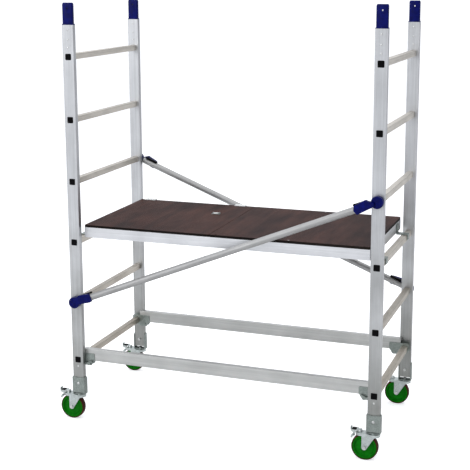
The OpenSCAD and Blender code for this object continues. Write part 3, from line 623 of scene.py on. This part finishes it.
def ribbed_outline(side, radius, steps=5):
    """A square with round corners whose faces carry five shallow grooves each."""
    ring = []
    half = side / 2
    centre = half - radius
    for quarter in range(4):
        turn = Matrix.Rotation(quarter * math.pi / 2, 2)
        face = [(half, -half + radius)]
        for k in range(-2, 3):
            middle = k * RIB_PITCH
            for across, dip in ((-1.0, 0), (-0.6, 1), (0.6, 1), (1.0, 0)):
                face.append((half - dip * RIB_DEPTH, middle + across * MM))
        face.append((half, half - radius))
        for i in range(1, steps):
            a = math.radians(90 * i / steps)
            face.append((centre + radius * math.cos(a), centre + radius * math.sin(a)))
        ring += [tuple(turn @ Vector(p)) for p in face]
    return ring


def pushed_tube(bm, outer, inner, low, high, place):
    """A tube with any outline, from low to high along Z, with frame-shaped ends."""
    rings = {}
    for key, ring in (("outer", outer), ("inner", inner)):
        for z in (low, high):
            rings[key, z] = [bm.verts.new(place @ Vector((x, y, z))) for x, y in ring]
    for key in ("outer", "inner"):
        a, b = rings[key, low], rings[key, high]
        for i in range(len(a)):
            j = (i + 1) % len(a)
            bm.faces.new((a[i], a[j], b[j], b[i]))
    flat = [[Vector((x, y, 0)) for x, y in ring] for ring in (outer, inner)]
    for z in (low, high):
        corners = rings["outer", z] + rings["inner", z]
        for triangle in tessellate_polygon(flat):
            bm.faces.new([corners[i] for i in triangle])


rung_outline = ribbed_outline(rung_side, 4 * MM)
rung_bore = rounded(rung_side - 2 * TUBE_WALL, rung_side - 2 * TUBE_WALL, 2 * MM)
for side_name, corner in (("left", "front_left"), ("right", "front_right")):
    bm = bmesh.new()
    for k in range(rung_count):
        place = outward(stile_axis[corner].x, 0, first_rung + k * rung_pitch, -1)
        pushed_tube(bm, rung_outline, rung_bore, -frame_half, frame_half, place)
    rungs = "rungs_" + side_name
    piece("ribbed_" + rungs, bm, "tower_frame", rung_metal, (rungs,))
print("rungs:", 2 * rung_count)

# %% [markdown]
# ## Rung plugs
# A black plug closes each rung where no brace is clipped in. Its head is a square cushion that
# catches a small highlight in the middle, and its stem is a tight fit in the tube. It is one stack
# of eight outlines, from the end of the stem to the middle of the head. BRACE_ENDS names the rung
# ends that hold a brace's clip instead, by the corner's two signs and the rung's number from 0.

# %% Plugs
PLUG_HEAD = 2 * MM
PLUG_STEM = 16 * MM
BRACE_ENDS = {(-1, -1, 1), (1, -1, 3), (-1, 1, 3), (1, 1, 1)}
head = rung_side
stem = rung_side - 2 * TUBE_WALL - 0.2 * MM
plug_stack = [  # side, corner radius, level
    (stem - 1 * MM, 2 * MM, -PLUG_STEM), (stem, 2 * MM, -PLUG_STEM + 1 * MM), (stem, 2 * MM, 0),
    (head, 4 * MM, 0), (head, 4 * MM, 0.8 * MM), (head - 0.8 * MM, 3.6 * MM, 1.4 * MM),
    (head - 4 * MM, 3.0 * MM, 1.8 * MM), (head - 14 * MM, 2.5 * MM, PLUG_HEAD),
]
plug_rings = [at_level(rounded(side, side, radius), z) for side, radius, z in plug_stack]
bm = bmesh.new()
plug_count = 0
for name, (sx, sy) in CORNERS.items():
    for k in range(rung_count):
        if (sx, sy, k) in BRACE_ENDS:
            continue
        place = outward(stile_axis[name].x, sy * frame_half, first_rung + k * rung_pitch, sy)
        skin(bm, plug_rings, place)
        plug_count += 1
piece(
    "cushioned_plugs", bm, "tower_frame", black_plastic, ("rung_plugs",), sharp=50
)
print("plugs:", plug_count)

# %% [markdown]
# ## Stacking spigots
# A second frame slides onto these blue spigots. Each is a moulded block with well-rounded upright
# corners, a thin collar that rests on the stile's end, a chamfered top and a cross hole for the
# locking pin. The body is a stack of outlines, and the hole is then cut with a Boolean modifier,
# because a hole across a stack can't be one of its outlines.

# %% Spigots
STEM_LENGTH = 118 * MM
COLLAR = 4 * MM
PIN_HOLE_RADIUS = 4 * MM
PIN_HOLE_DROP = 26 * MM
CUT_REACH = 30 * MM
STILE_W, STILE_D = 57 * MM, 25 * MM
SPIGOT_W, SPIGOT_D = 52.4 * MM, 20.4 * MM
CORNER_RADIUS = 3.6 * MM


def cut_away(target, cutters):
    """Cuts closed shells out of a piece, and leaves the result as its mesh."""
    for cutter in cutters:
        hole = target.modifiers.new("cut", "BOOLEAN")
        hole.operation = "DIFFERENCE"
        hole.solver = "EXACT"
        hole.object = cutter
    bpy.context.view_layer.update()
    solved = target.evaluated_get(bpy.context.evaluated_depsgraph_get())
    mesh = bpy.data.meshes.new_from_object(solved)
    target.modifiers.clear()
    target.data = mesh
    for cutter in cutters:
        bpy.data.objects.remove(cutter)


def cutter_from(bm):
    """A closed shell for cut_away to cut with."""
    bmesh.ops.recalc_face_normals(bm, faces=bm.faces)
    mesh = bpy.data.meshes.new("cutter")
    bm.to_mesh(mesh)
    bm.free()
    made = bpy.data.objects.new("cutter", mesh)
    bpy.context.scene.collection.objects.link(made)
    return made


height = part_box("stacking_spigots")[1].z - stile_top
spigot_stack = [  # width, depth, corner radius, level
    (SPIGOT_W - 3 * MM, SPIGOT_D - 3 * MM, 3 * MM, -STEM_LENGTH),
    (SPIGOT_W, SPIGOT_D, CORNER_RADIUS, -STEM_LENGTH + 5 * MM),
    (SPIGOT_W, SPIGOT_D, CORNER_RADIUS, 0),
    (STILE_W, STILE_D, 1.0 * MM, 0),
    (STILE_W, STILE_D, 1.0 * MM, COLLAR - 0.8 * MM),
    (STILE_W - 1.2 * MM, STILE_D - 1.2 * MM, 1.5 * MM, COLLAR),
    (SPIGOT_W, SPIGOT_D, CORNER_RADIUS, COLLAR),
    (SPIGOT_W, SPIGOT_D, CORNER_RADIUS, height - 9 * MM),
    (SPIGOT_W - 1.6 * MM, SPIGOT_D - 1.6 * MM, CORNER_RADIUS, height - 5 * MM),
    (SPIGOT_W - 5 * MM, SPIGOT_D - 5 * MM, 3.2 * MM, height - 1 * MM),
    (SPIGOT_W - 8 * MM, SPIGOT_D - 8 * MM, 2.6 * MM, height),
]
spigot_rings = [at_level(rounded(w, d, radius), z) for w, d, radius, z in spigot_stack]
hole_profile = [
    (0, -CUT_REACH), (PIN_HOLE_RADIUS, -CUT_REACH), (PIN_HOLE_RADIUS, CUT_REACH), (0, CUT_REACH),
]
body_bm, holes_bm = bmesh.new(), bmesh.new()
for axis in stile_axis.values():
    skin(body_bm, spigot_rings, Matrix.Translation((axis.x, axis.y, stile_top)))
    hole = outward(axis.x, axis.y, stile_top + height - PIN_HOLE_DROP, -1)
    turned(holes_bm, hole_profile, hole)
spigots = piece(
    "moulded_spigots", body_bm, "tower_frame", blue_plastic,
    ("stacking_spigots",), sharp=40,
)
cut_away(spigots, [cutter_from(holes_bm)])
print("spigot height:", round(height, 4))

# %% [markdown]
# ## Rivets and foot bolts
# Blind rivets hold each spigot in its stile, and one more sits under the lowest rung. A blind rivet
# shows a low dome with a small dimple where its mandrel broke off, and a smaller bulb behind. Each
# foot has a round-headed bolt and a nut. All of them are turned profiles, given from the head
# inwards; the nut is a hexagon whose corners a circle cuts back, as the chamfer on a real nut does.

# %% Rivets
RIVET_DROPS = (24 * MM, 69 * MM, 107 * MM)
RIVET_HEAD, RIVET_SHANK, RIVET_BULB = 5 * MM, 2.5 * MM, 4 * MM
rivet_levels = [stile_top - drop for drop in RIVET_DROPS]
rivet_levels.append(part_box("stile_rivets")[0].z + RIVET_HEAD)
rivet_profile = [
    (0, 1.35 * MM), (1.1 * MM, 1.45 * MM), (1.5 * MM, 1.8 * MM), (2.6 * MM, 1.65 * MM),
    (3.9 * MM, 1.15 * MM), (4.7 * MM, 0.5 * MM), (RIVET_HEAD, 0), (RIVET_SHANK, 0),
    (RIVET_SHANK, -STILE_D), (RIVET_BULB, -STILE_D), (3.8 * MM, -STILE_D - 0.9 * MM),
    (2.4 * MM, -STILE_D - 1.7 * MM), (0, -STILE_D - 1.8 * MM),
]
bm = bmesh.new()
for name, (_, sy) in CORNERS.items():
    for level in rivet_levels:
        turned(bm, rivet_profile, outward(stile_axis[name].x, sy * frame_half, level, sy), 28)
piece(
    "domed_rivets", bm, "tower_frame", bright_zinc, ("stile_rivets",), sharp=40
)
print("rivets:", len(CORNERS) * len(rivet_levels))

# %% Foot bolts
BRACKET_FACE = 4.3 * MM
BOLT_HEAD, BOLT_SHANK = 7 * MM, 4 * MM
NUT_CORNERS, NUT_FACE = 15 * MM, 6.9 * MM
bolt_profile = [
    (0, BRACKET_FACE + 3.5 * MM), (3.2 * MM, BRACKET_FACE + 3.3 * MM),
    (5.6 * MM, BRACKET_FACE + 2.3 * MM), (6.8 * MM, BRACKET_FACE + 0.8 * MM),
    (BOLT_HEAD, BRACKET_FACE), (BOLT_SHANK, BRACKET_FACE), (BOLT_SHANK, -STILE_D - 8 * MM),
    (3.2 * MM, -STILE_D - 8.6 * MM), (0, -STILE_D - 8.6 * MM),
]
nut_rings = [
    at_level(hexagon(NUT_CORNERS, NUT_FACE), -STILE_D - 6.5 * MM),
    at_level(hexagon(NUT_CORNERS, NUT_CORNERS / 2), -STILE_D - 5.6 * MM),
    at_level(hexagon(NUT_CORNERS, NUT_CORNERS / 2), -STILE_D - 0.9 * MM),
    at_level(hexagon(NUT_CORNERS, NUT_FACE), -STILE_D),
]
bolt_lo, bolt_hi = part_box("foot_bolts")
bolt_level = (bolt_lo.z + bolt_hi.z) / 2
bm = bmesh.new()
for name, (_, sy) in CORNERS.items():
    place = outward(stile_axis[name].x, sy * frame_half, bolt_level, sy)
    turned(bm, bolt_profile, place, 32)
    skin(bm, nut_rings, place)
piece(
    "foot_bolts_and_nuts", bm, "tower_frame", bright_zinc,
    ("foot_bolts",), sharp=30,
)
print("foot bolts:", len(CORNERS))

# %% [markdown]
# ## Castors
# Each castor is a zinc-plated fork that swivels under a bracket, a green wheel with a cast tread,
# an axle bolt with its nut, and a brake pedal with a black foot pad. The pressed parts keep their
# CAD shape and get broken edges. The wheel is turned again from a finer profile, with a hub, a
# conical web, a rim and small fillets where the plastic thickens. Half a profile is enough,
# because both sides of a wheel are alike.

# %% Pressed castor parts
soften("castor_brackets", 1.2 * MM, pressed_zinc)
soften("king_pins", 0.5 * MM, bright_zinc)
soften("swivel_races", 0.3 * MM, bright_zinc)
for name in CORNERS:
    soften("fork_" + name, 1.1 * MM, crown_zinc)
    soften("pedal_" + name, 0.8 * MM, crown_zinc)
print("pressed parts softened")

# %% Wheels and treads
tread_lo, tread_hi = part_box("tread_front_left")
core_lo, core_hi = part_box("wheel_core_front_left")
wheel_radius = (tread_hi.z - tread_lo.z) / 2
rim_radius = (core_hi.z - core_lo.z) / 2
tread_half = (tread_hi.y - tread_lo.y) / 2
hub_half = (core_hi.y - core_lo.y) / 2
wheel_x_offset = (tread_lo.x + tread_hi.x) / 2 - stile_axis["front_left"].x


def mirrored(profile):
    """A profile on one side of the middle, carried on to the other side and closed."""
    return profile + [(r, -z) for r, z in reversed(profile)]


BORE = 5.1 * MM
core_profile = mirrored([
    (BORE, hub_half), (11 * MM, hub_half), (12.4 * MM, hub_half - 0.4 * MM),
    (15.4 * MM, hub_half - 2.2 * MM), (16 * MM, hub_half - 3.4 * MM),
    (16.6 * MM, 13.4 * MM), (17.6 * MM, 12.6 * MM), (19.4 * MM, 12.0 * MM),
    (rim_radius - 15.5 * MM, 6.4 * MM), (rim_radius - 13.2 * MM, 6.6 * MM),
    (rim_radius - 11.2 * MM, 8.4 * MM), (rim_radius - 9.2 * MM, 12.4 * MM),
    (rim_radius - 7.8 * MM, 13.8 * MM), (rim_radius - 3.4 * MM, 14 * MM),
    (rim_radius - 1.4 * MM, 13.4 * MM), (rim_radius, 11.6 * MM),
])
tread_profile = mirrored([
    (rim_radius + 0.05 * MM, tread_half - 1.2 * MM),
    (rim_radius + 0.4 * MM, tread_half - 0.3 * MM),
    (rim_radius + 1.1 * MM, tread_half),
    (wheel_radius - 3.0 * MM, tread_half - 0.3 * MM),
    (wheel_radius - 1.6 * MM, tread_half - 1.4 * MM),
    (wheel_radius - 0.6 * MM, tread_half - 3.6 * MM),
    (wheel_radius - 0.1 * MM, 6 * MM),
    (wheel_radius, 1.2 * MM),
    (wheel_radius - 0.3 * MM, 0.4 * MM),
])
for name, axis in stile_axis.items():
    place = outward(axis.x + wheel_x_offset, axis.y, wheel_radius, -1)
    bm = bmesh.new()
    turned(bm, core_profile, place, 96)
    wheel = "wheel_" + name
    piece(wheel, bm, wheel, green_plastic, ("wheel_core_" + name,))
    bm = bmesh.new()
    turned(bm, tread_profile, place, 128)
    piece("cast_tread_" + name, bm, wheel, tread_rubber, ("tread_" + name,))
print("wheel radius:", round(wheel_radius, 4), "rim radius:", round(rim_radius, 4))

# %% [markdown]
# ## Axle bolts and pedal pads
# The axle is a bolt with a hexagonal head at one cheek and a nut at the other. The pedal's pin is a
# plain rivet. On the pedal lies a ribbed rubber pad, which is the black spot seen from above.

# %% Outlines of axle bolts and pedal rivets
CHEEK = 22 * MM
HEAD = 6 * MM
AXLE_RADIUS = 5 * MM
AXLE_HEAD_END, AXLE_NUT_END = CHEEK + 3 * MM, -CHEEK - HEAD - 3 * MM
HEX_CORNERS = 18 * MM
PEDAL_X = 62 * MM
PEDAL_Z = 136.8 * MM
axle_profile = [
    (0, AXLE_HEAD_END), (AXLE_RADIUS, AXLE_HEAD_END), (AXLE_RADIUS, AXLE_NUT_END + 1 * MM),
    (4.2 * MM, AXLE_NUT_END), (0, AXLE_NUT_END),
]
hex_rings = [
    [
        at_level(hexagon(HEX_CORNERS, 8.4 * MM), low),
        at_level(hexagon(HEX_CORNERS, HEX_CORNERS / 2), low + 0.8 * MM),
        at_level(hexagon(HEX_CORNERS, HEX_CORNERS / 2), high - 0.8 * MM),
        at_level(hexagon(HEX_CORNERS, 8.2 * MM), high),
    ]
    for low, high in ((CHEEK, CHEEK + HEAD), (-CHEEK - HEAD, -CHEEK))
]
pedal_rivet_profile = [
    (0, 13 * MM), (2.6 * MM, 12.8 * MM), (4.2 * MM, 11.9 * MM), (4.5 * MM, 11 * MM),
    (3 * MM, 11 * MM), (3 * MM, -11 * MM), (4.5 * MM, -11 * MM), (4.2 * MM, -11.9 * MM),
    (2.6 * MM, -12.8 * MM), (0, -13 * MM),
]
print("axle length:", round(AXLE_HEAD_END - AXLE_NUT_END, 4))

# %% Outlines of pedal pads
PADDLE_TOP = PEDAL_Z + 5.5 * MM
PAD_MIDDLE = PEDAL_X + 27.5 * MM
PAD_RIB_PITCH = 3.4 * MM
PAD_HEIGHT = 2.5 * MM
pad_rings = [
    at_level(rounded(20 * MM, 26 * MM, 3 * MM), 0),
    at_level(rounded(20 * MM, 26 * MM, 3 * MM), 1.2 * MM),
    at_level(rounded(18.6 * MM, 24.6 * MM, 2.4 * MM), 1.8 * MM),
]
pad_rib_rings = [
    at_level(rounded(1.8 * MM, 21 * MM, 0.8 * MM, 3), 1.6 * MM),
    at_level(rounded(1.4 * MM, 20.6 * MM, 0.6 * MM, 3), PAD_HEIGHT),
]
print("pad height:", PAD_HEIGHT)

# %% Axle bolts and pedal pads
for name, axis in stile_axis.items():
    axle = outward(axis.x + wheel_x_offset, axis.y, wheel_radius, -1)
    bm = bmesh.new()
    turned(bm, axle_profile, axle, 32)
    for rings in hex_rings:
        skin(bm, rings, axle)
    turned(bm, pedal_rivet_profile, outward(axis.x - PEDAL_X, axis.y, PEDAL_Z, -1), 28)
    piece(
        "axle_bolt_" + name, bm, "castor_" + name, bright_zinc,
        ("pins_" + name,), sharp=30,
    )
    bm = bmesh.new()
    pad = Matrix.Translation((axis.x - PAD_MIDDLE, axis.y, PADDLE_TOP))
    skin(bm, pad_rings, pad)
    for k in range(-2, 3):
        skin(bm, pad_rib_rings, pad @ Matrix.Translation((k * PAD_RIB_PITCH, 0, 0)))
    piece("pedal_pad_" + name, bm, "brake_" + name, black_plastic)
print("axle bolts and pads:", len(stile_axis))

# %% [markdown]
# ## The platform's frame
# Under the boards are two box rails and four cross beams, all extruded, with strip steel hooks that
# hang over the rungs. The die lines run along each member, so rails and beams have the same metal
# with its lines turned. Their shapes are right already and only need broken edges.

# %% Platform frame
soften("side_rails", 0.9 * MM, rail_metal)
soften("cross_beams", 0.9 * MM, beam_metal)
soften("rung_hooks", 1.2 * MM, pressed_zinc)
soften("deck_panel", 0.6 * MM, deck_board)
soften("hatch_panel", 0.6 * MM, deck_board)
soften("hinge_rail_leaves", 0.4 * MM, bright_zinc)
soften("hinge_hatch_leaves", 0.4 * MM, bright_zinc)
soften("hinge_pins", 0.4 * MM, bright_zinc)
soften("hatch_plate", 0.4 * MM, pressed_zinc)
print("platform softened")

# %% [markdown]
# ## Deck screws
# Six countersunk screws hold the fixed board to the rails. Each has a cross recess, cut into a
# turned screw with the Boolean modifier, and lies a little below the film.

# %% Deck screws
HEAD_RADIUS, CORE_RADIUS = 4.5 * MM, 2.2 * MM
SCREW_LENGTH = 11.6 * MM
screw_lo, screw_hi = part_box("deck_screws")
screw_top = screw_hi.z
screw_xs = [
    screw_lo.x + HEAD_RADIUS,
    (screw_lo.x + screw_hi.x) / 2,
    screw_hi.x - HEAD_RADIUS,
]
screw_y = screw_hi.y - HEAD_RADIUS
screw_profile = [
    (0, 0), (4.2 * MM, 0), (HEAD_RADIUS, -0.2 * MM), (CORE_RADIUS, -3 * MM),
    (CORE_RADIUS, -SCREW_LENGTH), (0, -SCREW_LENGTH),
]
recess_rings = [
    at_level(rounded(1.2 * MM, 0.8 * MM, 0.2 * MM, 2), -1.6 * MM),
    at_level(rounded(4.4 * MM, 1.1 * MM, 0.3 * MM, 2), 0.5 * MM),
]
bm, recess = bmesh.new(), bmesh.new()
for x in screw_xs:
    for side in (-1, 1):
        place = Matrix.Translation((x, side * screw_y, screw_top))
        turned(bm, screw_profile, place, 32)
        for quarter in (0, 1):
            skin(recess, recess_rings, place @ Matrix.Rotation(quarter * math.pi / 2, 4, "Z"))
screws = piece(
    "cross_head_screws", bm, "platform", bright_zinc,
    ("deck_screws",), sharp=30,
)
cut_away(screws, [cutter_from(recess)])
print("screws:", 2 * len(screw_xs))

# %% [markdown]
# ## The hatch's lifting ring
# The ring is one length of wire, bent into a loop with round corners. A curve with a round bevel
# would do, but a skinned stack of circles along the path is just as short, and gives a closed mesh
# with no seam. The rear rod runs through the plate's two ears.

# %% Lifting ring
def wire_loop(bm, path, radius, count=14):
    """A closed loop of round wire along a path of points."""
    rows = []
    for i, point in enumerate(path):
        along = (path[(i + 1) % len(path)] - path[i - 1]).normalized()
        side = along.cross(Vector((0, 0, 1))).normalized()
        top = side.cross(along)
        rows.append([
            bm.verts.new(
                point
                + side * radius * math.cos(2 * math.pi * k / count)
                + top * radius * math.sin(2 * math.pi * k / count)
            )
            for k in range(count)
        ])
    for a, b in zip(rows, rows[1:] + rows[:1]):
        for k in range(count):
            j = (k + 1) % count
            bm.faces.new((a[k], a[j], b[j], b[k]))


ring_lo, ring_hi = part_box("hatch_ring")
WIRE_RADIUS = 2 * MM
ring_z = (ring_lo.z + ring_hi.z) / 2
rod_y = ring_hi.y - WIRE_RADIUS
front_y = ring_lo.y + WIRE_RADIUS
ring_x = (ring_lo.x + ring_hi.x) / 2
RING_WIDTH = 26 * MM
loop = [
    Vector((ring_x + x, (rod_y + front_y) / 2 + y, ring_z))
    for x, y in rounded(RING_WIDTH, rod_y - front_y, 5 * MM, 6)
]
bm = bmesh.new()
wire_loop(bm, loop, WIRE_RADIUS)
rod_half = (ring_hi.x - ring_lo.x) / 2
rod_profile = [
    (0, -rod_half), (1.6 * MM, -rod_half), (WIRE_RADIUS, -rod_half + 0.5 * MM),
    (WIRE_RADIUS, rod_half - 0.5 * MM), (1.6 * MM, rod_half), (0, rod_half),
]
rod_place = Matrix.Translation((ring_x, rod_y, ring_z)) @ Matrix.Rotation(math.pi / 2, 4, "Y")
turned(bm, rod_profile, rod_place, 20)
piece("wire_ring", bm, "lifting_ring", bright_zinc, ("hatch_ring",), sharp=40)
print("ring width:", RING_WIDTH)

# %% [markdown]
# ## Braces and their clips
# Each brace is a round aluminium tube with a blue moulded clip at each end. The clip's round head
# plugs into a rung, its leaf wraps the outer half of the tube, and a black lever on the back locks
# it. The mouldings have generous radii, which is what the wider bevel gives. The heads' faces are
# ribbed caps: a turned rim and boss, with six short ribs between them that catch the light.

# %% Braces
for side in ("front", "rear"):
    soften(side + "_brace_tube", 0.4 * MM, brace_metal[side])
    soften(side + "_brace_clips", 1.8 * MM, blue_plastic, segments=3)
    for level in ("low", "high"):
        soften(side + "_brace_lever_" + level, 1.4 * MM, black_plastic, segments=3)
print("braces softened")

# %% Faces of the clip heads
CLIP_HEAD = 25.3 * MM
CAP_RIBS = 6
SPOKE_MIDDLE = 14 * MM
cap_profile = [
    (0, 2.3 * MM), (5.4 * MM, 2.1 * MM), (7.0 * MM, 1.3 * MM), (7.6 * MM, 0.3 * MM),
    (20 * MM, 0.3 * MM), (20.8 * MM, 1.5 * MM), (22 * MM, 2.2 * MM), (24 * MM, 2.2 * MM),
    (25.2 * MM, 1.5 * MM), (25.8 * MM, -0.6 * MM), (0, -0.6 * MM),
]
spoke_rings = [
    at_level(rounded(13.5 * MM, 2.6 * MM, 0.9 * MM, 3), 0.1 * MM),
    at_level(rounded(13.5 * MM, 2.2 * MM, 0.9 * MM, 3), 1.3 * MM),
    at_level(rounded(12.8 * MM, 1.4 * MM, 0.6 * MM, 3), 1.7 * MM),
]
for side, sy in (("front", -1), ("rear", 1)):
    bm = bmesh.new()
    for sx, _, rung in sorted(end for end in BRACE_ENDS if end[1] == sy):
        x = bay_middle + sx * (stile_axis["front_right"].x - bay_middle)
        place = outward(x, sy * (frame_half + CLIP_HEAD), first_rung + rung * rung_pitch, sy)
        turned(bm, cap_profile, place)
        for k in range(CAP_RIBS):
            spoke = place @ Matrix.Rotation(2 * math.pi * k / CAP_RIBS, 4, "Z")
            skin(bm, spoke_rings, spoke @ Matrix.Translation((SPOKE_MIDDLE, 0, 0)))
    piece("clip_caps_" + side, bm, side + "_brace", blue_plastic)
print("clip caps:", len(BRACE_ENDS))

# %% [markdown]
# ## Foot bars
# A flat box bar joins the frames low down at the front and the rear. Steel cheeks at its ends hang
# over the lowest rungs, and a winged latch turns an arm under the rung so that the bar can't lift.

# %% Foot bars
for side in ("front", "rear"):
    soften(side + "_bar", 0.9 * MM, bar_metal)
    soften(side + "_bar_hooks", 0.5 * MM, pressed_zinc)
for name in CORNERS:
    soften("wing_latch_" + name, 0.9 * MM, pressed_zinc)
print("foot bars softened")
